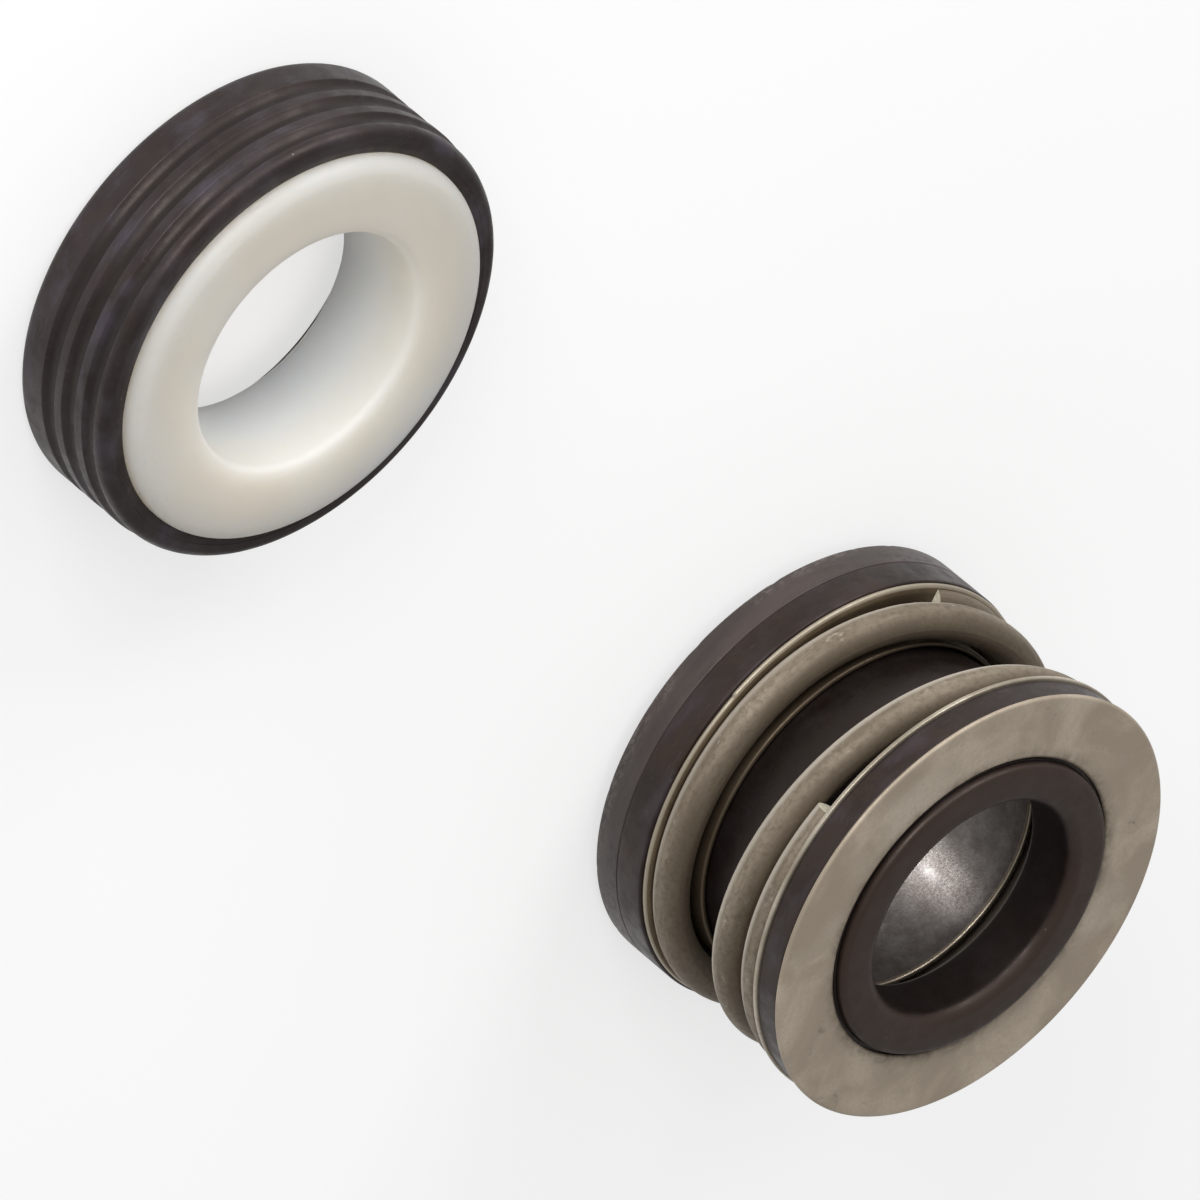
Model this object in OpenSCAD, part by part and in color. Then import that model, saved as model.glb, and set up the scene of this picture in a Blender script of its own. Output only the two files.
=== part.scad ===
// Mechanical shaft seal for a pump, in its two mating halves.
//
// The rotating head stands on its lapped nose with its tail up: a carbon ring,
// a moulded rubber bellows, a pressed steel retainer, one heavy left-hand
// compression spring with closed and ground ends, a thin spring washer and a
// flat end disc. The shaft enters from the tail and is gripped by the lip.
//
// The stationary seat stands beside it on its back: a ceramic ring bedded in
// a rubber cup whose outside has barbed ribs for the housing's counterbore.
//
// All lengths are in millimetres. Z is the shaft axis of both halves.

/* [Shaft and layout] */
// Diameter of the shaft that the seal fits
shaft_d = 19.05; // [16:0.05:20]
// Radial squeeze of the rubber lip on the shaft
lip_grip = 0.025; // [0.005:0.005:0.1]
// Distance between the axes of the two halves, as they stand side by side
pair_spacing = 92.5; // [60:0.5:120]

/* [Carbon ring] */
// Radial room between the shaft and the bore of the carbon ring
bore_room = 1.425; // [1.2:0.025:1.8]
// Height of the lapped nose
nose_h = 0.8; // [0.4:0.1:1.5]
// Radial width of the lapped nose
nose_w = 2.8; // [2:0.1:4]
// Radial step from the bore to the nose
nose_step = 0.7; // [0.3:0.05:1]
// Thickness of the carbon ring behind the nose
carbon_h = 2.6; // [2.4:0.1:5]
// Chamfer round the outer edges of the carbon ring
carbon_chamfer = 0.3; // [0.1:0.05:0.6]

/* [Rubber bellows] */
// Thickness of the rubber head behind the carbon ring
boot_h = 2.75; // [2.2:0.05:5]
// Length of the inner rim that holds on to the sleeve
boot_grip = 3.6; // [3:0.1:5]
// Radial gap between the inner sleeve and the rubber tube
tube_room = 1.45; // [0.8:0.05:2.5]
// Wall of the rubber tube
tube_wall = 1.6; // [1:0.1:2]
// How far the tube bulges between the spring's coils
tube_bulge = 0.35; // [0.1:0.05:0.6]
// Radial clearance between the tube and the retainer's collar
tube_clear = 0.15; // [0.05:0.05:0.3]
// How far the rubber head stands out from the retainer's flange
head_proud = 0.2; // [0.05:0.05:0.6]
// How far the tail flange is set in from the rubber head
band_inset = 0.2; // [0:0.05:0.6]
// Thickness of the tail flange
band_h = 2.3; // [1.6:0.1:4]
// Radial width of the lip round the shaft
lip_wall = 3.45; // [2.5:0.05:4]
// Height of the lip above the end disc
lip_h = 0.6; // [0.4:0.05:1.5]
// Length of the bore that grips the shaft
lip_bore_l = 5; // [4:0.1:6]
// Wall of the skirt at the inner end of the bore
skirt_wall = 1; // [0.8:0.05:1.1]
// Radius of the lip's edges
lip_round = 0.4; // [0.1:0.05:0.6]
// Depth of the rubber web below the tail flange
web_drop = 0.2; // [0:0.05:0.4]

/* [Sheet steel] */
// Sheet thickness of the retainer
retainer_t = 0.45; // [0.3:0.05:0.8]
// How far the retainer's flange stands out from the spring
flange_proud = 0.15; // [0:0.05:0.4]
// Radial room between the spring and the retainer's collar
collar_room = 0.45; // [0.2:0.05:0.6]
// Height of the collar above the flange
collar_h = 2.55; // [1.5:0.05:4]
// How far the rim stands out along its untrimmed stretch
rim_step = 0.12; // [0.05:0.01:0.2]
// Angle round the axis where the untrimmed stretch begins
rim_from = 156; // [0:1:359]
// Angle that the untrimmed stretch covers
rim_arc = 112; // [20:1:180]
// Wall of the inner sleeve
sleeve_wall = 0.5; // [0.3:0.05:0.7]
// Length of the inner sleeve above the carbon ring
sleeve_h = 13.2; // [9:0.1:13.3]
// Depth of the sleeve's seat in the carbon ring
sleeve_seat = 1.6; // [1:0.1:2]
// Sheet thickness of the spring washer
washer_t = 0.4; // [0.3:0.05:0.8]
// How far the spring washer stands out from the tail flange
washer_proud = 0.2; // [0.05:0.05:0.5]
// Radial room between the rubber tube and the spring washer
washer_room = 0.6; // [0.3:0.05:1]
// Thickness of the end disc
disc_t = 0.4; // [0.4:0.05:1]
// How far the end disc stands out from the tail flange
disc_proud = 0.3; // [0.05:0.05:0.8]
// Radial groove between the end disc and the lip
lip_groove = 0.35; // [0.2:0.05:0.6]

/* [Spring] */
// Diameter of the spring wire
wire_d = 2.8; // [2.2:0.1:2.8]
// Free length of the spring between its ground ends
spring_l = 13; // [12:0.5:18]
// Turns of wire from tip to tip
spring_turns = 2.806; // [2.4:0.05:3]
// Thickness of the lower tip, which lies on the flange
tip_t = 0.9; // [0.6:0.1:1.2]
// Turns in which the lower end coil reaches its full thickness
tip_run = 0.6; // [0.4:0.05:0.8]
// Thickness of the upper tip, which lies under the spring washer
tail_tip_t = 1.9; // [1.2:0.1:2.1]
// Turns in which the upper end coil reaches its full thickness
tail_run = 0.16; // [0.1:0.02:0.5]
// How deep the rest of the lower end coil is ground
tip_grind = 0.2; // [0.05:0.05:0.3]
// How deep the rest of the upper end coil is ground
tail_grind = 0.05; // [0.05:0.05:0.3]
// Gap between a tip and the coil that it lies on
coil_gap = 0.05; // [0.05:0.05:0.3]
// Angle of the lower wire end round the axis
tip_angle = 203; // [0:1:359]

/* [Seat] */
// Radial wall of the ceramic ring
ceramic_wall = 6.1; // [4.5:0.1:8]
// Thickness of the ceramic ring
ceramic_t = 9; // [8:0.1:11]
// Radial clearance between the shaft and the ceramic ring
ceramic_room = 0.225; // [0.1:0.025:0.6]
// Rounding of the ceramic ring's outer front edge
ceramic_round = 1.15; // [0.5:0.05:1.3]
// Chamfer at both ends of the ceramic ring's bore
ceramic_chamfer = 0.3; // [0.1:0.05:0.5]
// How far the ceramic face stands proud of the rubber
face_proud = 1.15; // [0.6:0.05:1.3]
// Wall of the rubber cup, measured over its ribs
cup_wall = 2.13; // [1.8:0.01:3]
// Floor of the rubber cup
cup_floor = 1.7; // [1:0.1:3]
// How far the hole in the cup's floor is set back from the ceramic bore
cup_hole_step = 2.3; // [0.5:0.05:3]
// Radial clearance between the ceramic ring and the cup
cup_clear = 0.02; // [0:0.01:0.1]
// Number of ribs behind the cup's front shoulder
rib_n = 3; // [2:1:3]
// Distance from the front of the cup to the first rib
rib_first = 2.2; // [2:0.05:2.4]
// Distance from rib to rib
rib_pitch = 2.3; // [1.9:0.05:2.35]
// Height of a rib
rib_h = 0.45; // [0.2:0.05:0.6]
// Rounding where a rib's ramp meets its land
rib_round = 0.25; // [0.1:0.05:0.35]
// Length of a rib's ramp, towards the front
rib_rise = 0.65; // [0.4:0.05:0.75]
// Length of a rib's land behind the ramp
rib_land = 0.85; // [0.6:0.05:1]
// Length of the steep step behind the land
rib_back = 0.1; // [0.05:0.05:0.2]
// How far the front shoulder is set in from the ribs
shoulder_step = 0.15; // [0.05:0.05:0.3]
// Length of the front shoulder
shoulder_l = 1.2; // [0.9:0.05:1.25]
// Rounding of the cup's outer corners
cup_round = 0.8; // [0.3:0.05:0.9]

/* [Hidden] */
$fn = 96;

// Radii, from the shaft outwards
shaft_r = shaft_d / 2;
lip_r = shaft_r - lip_grip;
skirt_r = lip_r + skirt_wall;
lip_out_r = lip_r + lip_wall;
disc_hole_r = lip_out_r + lip_groove;
face_bore_r = shaft_r + bore_room;
sleeve_r = face_bore_r + sleeve_wall;
tube_in_r = sleeve_r + tube_room;
tube_r = tube_in_r + tube_wall;
washer_hole_r = tube_r + washer_room;
collar_r = tube_r + tube_clear + retainer_t;
spring_r = collar_r + collar_room + wire_d;
flange_r = spring_r + flange_proud;
head_r = flange_r + head_proud;
band_r = head_r - band_inset;
washer_r = band_r + washer_proud;
disc_r = band_r + disc_proud;

// Heights of the head, from the lapped nose up
carbon_z = nose_h;
boot_z = carbon_z + carbon_h;
flange_z = boot_z + boot_h;
spring_z = flange_z + retainer_t;
collar_z = spring_z + collar_h;
washer_z = spring_z + spring_l;
band_z = washer_z + washer_t;
disc_z = band_z + band_h;
tail_z = disc_z + disc_t;
lip_z = tail_z + lip_h;
skirt_z = lip_z - lip_bore_l;
web_z = band_z - web_drop;
sleeve_z = boot_z - sleeve_seat;

// Heights of the seat, from its back up
seat_z = cup_floor + ceramic_t;
cup_z = seat_z - face_proud;
bore_r = shaft_r + ceramic_room;
ceramic_r = bore_r + ceramic_wall;
cup_hole_r = bore_r + cup_hole_step;
cup_in_r = ceramic_r + cup_clear;
cup_r = cup_in_r + cup_wall;
floor_r = cup_r - rib_h;
shoulder_r = cup_r - shoulder_step;

// Small break of a moulded or machined edge
edge = 0.2;

// Both halves stand on z = 0 with the origin midway under the pair.
// The seat is in front and the head behind it.
widest_head = max(disc_r, washer_r, head_r, flange_r + rim_step);
head_y = (pair_spacing + cup_r - widest_head) / 2;
seat_y = head_y - pair_spacing;

// Points of an arc from angle a to angle b
function arc(c, r, a, b, n = 6) =
    [for (i = [0:n]) c + r * [cos(a + (b - a) * i / n), sin(a + (b - a) * i / n)]];

module head() translate([0, head_y, 0]) children();
module seat() translate([0, seat_y, 0]) children();

// Carbon ring: lapped nose below, counterbore for the sleeve above
module carbon_ring() {
    c = carbon_chamfer;
    nose_r = face_bore_r + nose_step;
    color([0.29, 0.26, 0.25]) head() rotate_extrude() polygon([
        [face_bore_r, edge + carbon_z / 2],
        [nose_r, carbon_z / 2],
        [nose_r, 0],
        [nose_r + nose_w, 0],
        [nose_r + nose_w, carbon_z],
        [head_r - c, carbon_z],
        [head_r, carbon_z + c],
        [head_r, boot_z - c / 3],
        [head_r - c / 3, boot_z],
        [sleeve_r, boot_z],
        [sleeve_r, sleeve_z],
        [face_bore_r, sleeve_z]
    ]);
}

// Rubber bellows, moulded in one piece: head, tube, tail flange, lip and skirt
module bellows() {
    mid_z = (collar_z + washer_z) / 2;
    rise = (washer_z - collar_z) / 2;
    // the tube's two sides bulge on the same curve
    bulge = [for (i = [0:8]) let (t = -1 + i / 4)
        [tube_bulge * (1 - t * t), mid_z + rise * t]];
    outer = [for (p = bulge) [tube_r + p[0], p[1]]];
    inner = [for (i = [8:-1:0]) [tube_in_r + bulge[i][0], bulge[i][1]]];
    color([0.23, 0.22, 0.23]) head() rotate_extrude() polygon(concat(
        [[sleeve_r, boot_z], [head_r - 0.1, boot_z], [head_r, boot_z + 0.1],
         [head_r, flange_z - edge], [head_r - edge, flange_z],
         [tube_r, flange_z]],
        outer,
        [[tube_r, band_z]],
        [[band_r - edge, band_z], [band_r, band_z + edge]],
        arc([band_r - 2 * edge, disc_z - 2 * edge], 2 * edge, 0, 90),
        [[lip_out_r, disc_z]],
        arc([lip_out_r - lip_round, lip_z - lip_round], lip_round, 0, 90),
        arc([lip_r + lip_round, lip_z - lip_round], lip_round, 90, 180),
        arc([lip_r + lip_round, skirt_z + lip_round], lip_round, 180, 270),
        [[skirt_r - edge, skirt_z], [skirt_r, skirt_z + edge],
         [skirt_r, web_z - edge], [skirt_r + edge, web_z],
         [tube_in_r - edge, web_z], [tube_in_r, web_z - edge]],
        inner,
        [[tube_in_r, boot_z + boot_grip + tube_in_r - sleeve_r],
         [sleeve_r, boot_z + boot_grip]]
    ));
}

// Thin steel sleeve that stands in the carbon ring, under the rubber tube
module inner_sleeve() {
    top = boot_z + sleeve_h;
    color([0.56, 0.54, 0.52]) head() rotate_extrude() polygon(concat(
        [[face_bore_r, sleeve_z], [sleeve_r, sleeve_z]],
        arc([sleeve_r - sleeve_wall / 2, top - sleeve_wall / 2], sleeve_wall / 2, 0, 180)
    ));
}

// Retainer pressed from sheet: a flange with a rounded rim and a collar
module retainer() {
    t = retainer_t;
    bend = 0.35;
    r = flange_r;
    color([0.60, 0.56, 0.49]) head() union() {
        rotate_extrude() polygon(concat(
            [[collar_r - t, flange_z]],
            arc([r - t / 2, flange_z + t / 2], t / 2, -90, 90),
            arc([collar_r + bend, spring_z + bend], bend, 270, 180),
            [[collar_r, collar_z - t / 3], [collar_r - t / 3, collar_z],
             [collar_r - t, collar_z]]
        ));
        // one stretch of the rim is left a little wider by the trimming
        rotate([0, 0, rim_from]) rotate_extrude(angle = rim_arc)
            translate([r - t, flange_z + t * 0.1]) square([t + rim_step, t * 0.8]);
    }
}

// Height of the wire's centre at turn t: a tip that rises from the flange, an end coil that lies
// on it, the free turn, an end coil under the washer and a tip that rises into it
function wire_run(t) = let (
        r = wire_d / 2,
        first = spring_z + tip_t - r,
        last = washer_z - tail_tip_t + r,
        low = spring_z + r - tip_grind,
        high = washer_z - r + tail_grind,
        lift = wire_d + coil_gap,
        pitch = (last - first - 2 * lift) / (spring_turns - 2),
        free = max(low, min(high, first + lift + pitch * (t - 1))))
    t < 1 ? min(free, first + (low - first) * t / tip_run)
          : max(free, last + (last - high) * (t - spring_turns) / tail_run);

// The same with its bends rounded
function wire_z(t) = (wire_run(t - 0.04) + wire_run(t - 0.02) + wire_run(t)
    + wire_run(t + 0.02) + wire_run(t + 0.04)) / 5;

// Section of the wire at turn t, cut flat where the ground ends cut it
function wire_ring(t, n) = let (
        z = wire_z(t),
        r = wire_d / 2,
        low = asin(max(-0.98, min(0.98, (spring_z - z) / r))),
        high = asin(max(-0.98, min(0.98, (washer_z - z) / r))),
        a = tip_angle - 360 * t)
    [for (i = [0:2 * n - 1]) let (
        k = i < n ? i : i - n,
        u = low + (high - low) * k / (n - 1),
        v = i < n ? u : low + high - u,
        s = i < n ? 1 : -1,
        q = spring_r - r + s * r * cos(v))
     [q * cos(a), q * sin(a), z + r * sin(v)]];

// Left-hand compression spring, closed and ground at both ends
module spring() {
    n = 8;
    steps = ceil(spring_turns * 48);
    m = 2 * n;
    pts = [for (k = [0:steps]) each wire_ring(spring_turns * k / steps, n)];
    sides = [for (k = [0:steps - 1], j = [0:m - 1]) let (
            a = k * m + j, b = k * m + (j + 1) % m)
        each [[a, a + m, b], [b, a + m, b + m]]];
    ends = [[for (j = [0:m - 1]) j], [for (j = [m - 1:-1:0]) steps * m + j]];
    color([0.58, 0.53, 0.45]) head() polyhedron(concat(pts), concat(sides, ends), convexity = 8);
}

module flat_ring(r0, r1, z, t, round_in, round_out) {
    rotate_extrude() polygon(concat(
        arc([r0 + round_in, z + round_in], round_in, 180, 270, 4),
        arc([r1 - round_out, z + round_out], round_out, 270, 360, 4),
        arc([r1 - round_out, z + t - round_out], round_out, 0, 90, 4),
        arc([r0 + round_in, z + t - round_in], round_in, 90, 180, 4)
    ));
}

module spring_washer()
    color([0.66, 0.63, 0.57]) head()
        flat_ring(washer_hole_r, washer_r, washer_z, washer_t, washer_t / 4, washer_t / 3);

module end_disc()
    color([0.60, 0.56, 0.49]) head()
        flat_ring(disc_hole_r, disc_r, disc_z, disc_t, disc_t / 3, disc_t * 0.45);

// Ceramic ring of the seat, lapped face up
module ceramic_ring() {
    r0 = bore_r;
    c = ceramic_chamfer;
    color([0.86, 0.84, 0.79]) seat() rotate_extrude() polygon(concat(
        [[r0, cup_floor + c], [r0 + c, cup_floor],
         [ceramic_r - c, cup_floor], [ceramic_r, cup_floor + c]],
        arc([ceramic_r - ceramic_round, seat_z - ceramic_round], ceramic_round, 0, 90, 8),
        [[r0 + c, seat_z], [r0, seat_z - c]]
    ));
}

// One barbed rib: a steep back, a smooth land and a ramp that falls towards the front.
// The last one is the front edge of the cup's smooth back.
function rib(i) = let (z = cup_z - rib_first - rib_pitch * i, q = rib_round,
        a = atan2(rib_h, rib_rise))
    concat(
        i == rib_n - 1 ? [] : [[floor_r, z - rib_land - rib_back], [cup_r, z - rib_land]],
        arc([cup_r - q, z - q * tan(a / 2)], q, 0, a, 4),
        [[floor_r, z + rib_rise]]);

// Rubber cup: smooth back, barbed ribs, front shoulder and flat front ring
module seat_cup() {
    color([0.25, 0.24, 0.24]) seat() rotate_extrude() polygon(concat(
        [[cup_hole_r, 0]],
        arc([cup_r - cup_round, cup_round], cup_round, 270, 360),
        [for (i = [rib_n - 1:-1:0]) each rib(i)],
        [[floor_r, cup_z - shoulder_l], [shoulder_r, cup_z - shoulder_l + edge]],
        arc([shoulder_r - cup_round, cup_z - cup_round], cup_round, 0, 90),
        [[cup_in_r + edge / 2, cup_z], [cup_in_r, cup_z - edge / 2],
         [cup_in_r, cup_floor], [cup_hole_r, cup_floor]]
    ));
}

carbon_ring();
bellows();
inner_sleeve();
retainer();
spring();
spring_washer();
end_disc();
ceramic_ring();
seat_cup();
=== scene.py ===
"""Looks of a pump shaft seal: the spring-loaded head and the ceramic seat beside it.

Lengths in this file are in millimetres and are turned into metres where a mesh is made.
Both halves are turned about vertical axes, so most pieces are profiles of (radius, height).
"""
import math

import bpy
from mathutils import Matrix, Vector


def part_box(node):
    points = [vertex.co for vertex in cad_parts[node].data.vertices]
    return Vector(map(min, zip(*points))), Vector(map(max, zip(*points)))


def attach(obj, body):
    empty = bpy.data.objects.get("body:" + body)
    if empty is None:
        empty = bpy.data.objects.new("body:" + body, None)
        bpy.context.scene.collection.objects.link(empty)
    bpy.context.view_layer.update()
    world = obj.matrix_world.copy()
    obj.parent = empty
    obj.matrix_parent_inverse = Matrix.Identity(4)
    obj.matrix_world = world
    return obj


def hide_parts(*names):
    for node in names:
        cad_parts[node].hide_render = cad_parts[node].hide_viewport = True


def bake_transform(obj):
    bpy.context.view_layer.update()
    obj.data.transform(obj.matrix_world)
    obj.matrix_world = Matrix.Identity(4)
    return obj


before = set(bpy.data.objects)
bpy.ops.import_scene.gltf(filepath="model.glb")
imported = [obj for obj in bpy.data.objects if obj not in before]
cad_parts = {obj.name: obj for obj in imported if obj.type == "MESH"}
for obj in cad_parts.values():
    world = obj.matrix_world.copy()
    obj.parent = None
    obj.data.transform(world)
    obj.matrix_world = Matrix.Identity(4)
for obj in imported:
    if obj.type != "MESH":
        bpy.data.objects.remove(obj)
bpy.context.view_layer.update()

MM = 0.001

# Places from the CAD frame


def centre_y(node):
    """Where the axis of a round node stands along y, in millimetres."""
    low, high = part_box(node)
    return (low.y + high.y) / 2 / MM


HEAD_Y = centre_y("end_disc")
SEAT_Y = centre_y("ceramic_ring")

# Sizes of the CAD model
LIP_R, FACE_BORE_R, SLEEVE_R = 9.5, 10.95, 11.45
SKIRT_R, TUBE_IN_R, TUBE_R, WEB_Z, WEB_FOOT_Z = 10.5, 12.9, 14.5, 8.45, 7.0
LIP_OUT_R, DISC_HOLE_R = 12.95, 13.3
COLLAR_R, WIRE_R, SPRING_R = 15.1, 1.4, 18.35
FLANGE_R, HEAD_R, BAND_R, WASHER_R, DISC_R = 18.5, 18.7, 18.5, 18.7, 18.8
CARBON_Z, BOOT_Z, FLANGE_Z, SPRING_Z = 0.8, 3.4, 6.15, 6.6
COLLAR_Z, WASHER_Z, BAND_Z, DISC_Z = 9.15, 19.6, 20.0, 22.3
TAIL_Z, LIP_Z, SKIRT_Z, SLEEVE_Z, SLEEVE_TOP = 22.7, 23.3, 18.3, 1.8, 16.6
SPRING_TURNS, TIP_ANGLE, COIL_GAP = 2.806, 203, 0.05
TIP_T, TIP_RUN, TIP_GRIND, TAIL_TIP_T, TAIL_RUN, TAIL_GRIND = 0.9, 0.6, 0.2, 1.9, 0.16, 0.05
BORE_R, CERAMIC_R, SEAT_Z = 9.75, 15.85, 10.7
CUP_IN_R, CUP_R, CUP_HOLE_R, CUP_Z, CUP_FLOOR = 15.87, 18.0, 12.05, 9.55, 1.7
RIM_FROM, RIM_ARC, RIM_STEP = 156, 112, 0.12


# Making meshes


def arc(cr, cz, r, a, b, n=6):
    """Points of an arc from angle a to angle b, in degrees."""
    out = []
    for i in range(n + 1):
        t = math.radians(a + (b - a) * i / n)
        out.append((cr + r * math.cos(t), cz + r * math.sin(t)))
    return out


def line(p, q, n):
    """Points between p and q, ends left out."""
    return [(p[0] + (q[0] - p[0]) * i / n, p[1] + (q[1] - p[1]) * i / n) for i in range(1, n)]


def smooth(t):
    """0 up to t = 0, 1 from t = 1, and an even curve between."""
    t = min(1.0, max(0.0, t))
    return t * t * (3 - 2 * t)


def ripple(a, seed, waves=(2, 3, 5, 8), fall=1.0):
    """A smooth periodic wave of the angle a, about -1 to 1."""
    total = sum(w ** -fall for w in waves)
    return sum(w ** -fall * math.sin(w * a + 1.7 * seed * w + seed) for w in waves) / total


def finish_mesh(name, verts, faces, sharp, uvs=None, marks=None):
    """An object of these points, in millimetres. Edges steeper than sharp degrees stay sharp.
    uvs has a point for each face corner, and marks has a material index for each face."""
    mesh = bpy.data.meshes.new(name)
    mesh.from_pydata([(x * MM, y * MM, z * MM) for x, y, z in verts], [], faces)
    if uvs:
        layer = mesh.uv_layers.new(name="UVMap")
        for i, uv in enumerate(uvs):
            layer.data[i].uv = uv
    mesh.validate()
    for p in mesh.polygons:
        p.use_smooth = True
    if marks:
        for p, m in zip(mesh.polygons, marks):
            p.material_index = m
    mesh.update()
    mesh.set_sharp_from_angle(angle=math.radians(sharp))
    obj = bpy.data.objects.new(name, mesh)
    bpy.context.scene.collection.objects.link(obj)
    return obj


def revolve(name, profile, axis_y, segs=384, change=None):
    """A closed profile of (r, z), given counterclockwise, turned about the axis at axis_y.
    change(a, r, z) returns the moved (r, z)."""
    n = len(profile)
    verts, faces = [], []
    for i in range(segs):
        a = 2 * math.pi * i / segs
        for r, z in profile:
            if change:
                r, z = change(a, r, z)
            verts.append((r * math.cos(a), axis_y + r * math.sin(a), z))
    for i in range(segs):
        k = (i + 1) % segs
        for j in range(n):
            m = (j + 1) % n
            faces.append((i * n + j, k * n + j, k * n + m, i * n + m))
    return finish_mesh(name, verts, faces, 40)


def keep_rest(obj):
    """Store each point's place at rest, so that the colours stay put when the piece is pressed."""
    layer = obj.data.attributes.new("rest", "FLOAT_VECTOR", "POINT")
    for point, vertex in zip(layer.data, obj.data.vertices):
        point.vector = vertex.co


# Making materials


def srgb(r, g, b):
    """Linear colour of an 8-bit sRGB one."""
    def one(c):
        c /= 255
        return c / 12.92 if c <= 0.04045 else ((c + 0.055) / 1.055) ** 2.4
    return (one(r), one(g), one(b), 1)


class Nodes:
    """Short calls for building a node tree."""

    def __init__(self, name):
        self.material = bpy.data.materials.new(name)
        self.material.use_nodes = True
        self.tree = self.material.node_tree
        self.tree.nodes.clear()

    def add(self, kind, settings=None, **inputs):
        node = self.tree.nodes.new(kind)
        for key, value in (settings or {}).items():
            setattr(node, key, value)
        for key, value in inputs.items():
            self.put(node.inputs[key.replace("_", " ")], value)
        return node

    def put(self, socket, value):
        if isinstance(value, bpy.types.NodeSocket):
            self.tree.links.new(value, socket)
        else:
            socket.default_value = value

    def math(self, operation, a, b=0.0):
        node = self.tree.nodes.new("ShaderNodeMath")
        node.operation = operation
        self.put(node.inputs[0], a)
        self.put(node.inputs[1], b)
        return node.outputs[0]

    def place(self, axis_y, at_rest=False):
        """Object coordinates in millimetres, with the axis of the half at the middle. A piece
        that changes its shape with the pose reads the places that keep_rest stored."""
        if at_rest:
            coord = self.add("ShaderNodeAttribute", {"attribute_name": "rest"}).outputs["Vector"]
        else:
            coord = self.add("ShaderNodeTexCoord").outputs["Object"]
        moved = self.add("ShaderNodeVectorMath", {"operation": "MULTIPLY_ADD"})
        self.put(moved.inputs[0], coord)
        moved.inputs[1].default_value = (1000, 1000, 1000)
        moved.inputs[2].default_value = (0, -axis_y, 0)
        xyz = moved.outputs[0]
        part = self.add("ShaderNodeSeparateXYZ", Vector=xyz)
        self.x, self.y, self.z = part.outputs
        self.r = self.math("SQRT", self.math("ADD", self.math("MULTIPLY", self.x, self.x),
                                             self.math("MULTIPLY", self.y, self.y)))
        return xyz

    def round_place(self, around, across):
        """A vector that repeats round the axis: slow round it, fast along radius and height."""
        safe = self.math("MAXIMUM", self.r, 0.01)
        node = self.add("ShaderNodeCombineXYZ")
        self.put(node.inputs[0], self.math("MULTIPLY", self.math("DIVIDE", self.x, safe), around))
        self.put(node.inputs[1], self.math("MULTIPLY", self.math("DIVIDE", self.y, safe), around))
        self.put(node.inputs[2], self.math("MULTIPLY", self.math("ADD", self.r, self.z), across))
        return node.outputs[0]

    def noise(self, vector, scale, detail, rough, distort=0.0):
        node = self.add("ShaderNodeTexNoise", Vector=vector, Scale=scale, Detail=detail,
                        Roughness=rough, Distortion=distort)
        return node.outputs[0]

    def ramp(self, value, low, high, out_low=0.0, out_high=1.0):
        """A smooth step from out_low at low to out_high at high."""
        node = self.tree.nodes.new("ShaderNodeMapRange")
        node.interpolation_type = "SMOOTHSTEP"
        self.put(node.inputs["Value"], value)
        for key, number in (("From Min", low), ("From Max", high), ("To Min", out_low),
                            ("To Max", out_high)):
            node.inputs[key].default_value = number
        return node.outputs[0]

    def mix(self, amount, a, b):
        node = self.add("ShaderNodeMix", {"data_type": "RGBA"})
        self.put(node.inputs[0], amount)
        self.put(node.inputs[6], a)
        self.put(node.inputs[7], b)
        return node.outputs[2]

    def specks(self, vector, scale, size):
        """Small round dots, few of them."""
        node = self.add("ShaderNodeTexVoronoi", {"feature": "F1"}, Vector=vector, Scale=scale,
                        Randomness=1.0)
        dots = self.ramp(node.outputs["Distance"], size * 0.5, size, 1.0, 0.0)
        part = self.add("ShaderNodeSeparateColor", Color=node.outputs["Color"])
        chosen = self.ramp(part.outputs[0], 0.72, 0.74)
        return self.math("MULTIPLY", dots, chosen)

    def bump(self, height, distance, strength=1.0, normal=None):
        node = self.add("ShaderNodeBump", Height=height, Distance=distance * MM, Strength=strength)
        if normal is not None:
            self.put(node.inputs["Normal"], normal)
        return node.outputs[0]

    def shader(self, color, rough, normal=None, **sockets):
        node = self.tree.nodes.new("ShaderNodeBsdfPrincipled")
        self.put(node.inputs["Base Color"], color)
        self.put(node.inputs["Roughness"], rough)
        if normal is not None:
            self.put(node.inputs["Normal"], normal)
        for key, value in sockets.items():
            self.put(node.inputs[key.replace("_", " ")], value)
        out = self.tree.nodes.new("ShaderNodeOutputMaterial")
        self.tree.links.new(node.outputs[0], out.inputs[0])
        return self.material


RUBBER_ROUGH, RUBBER_SPECULAR = 0.44, 0.38


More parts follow.
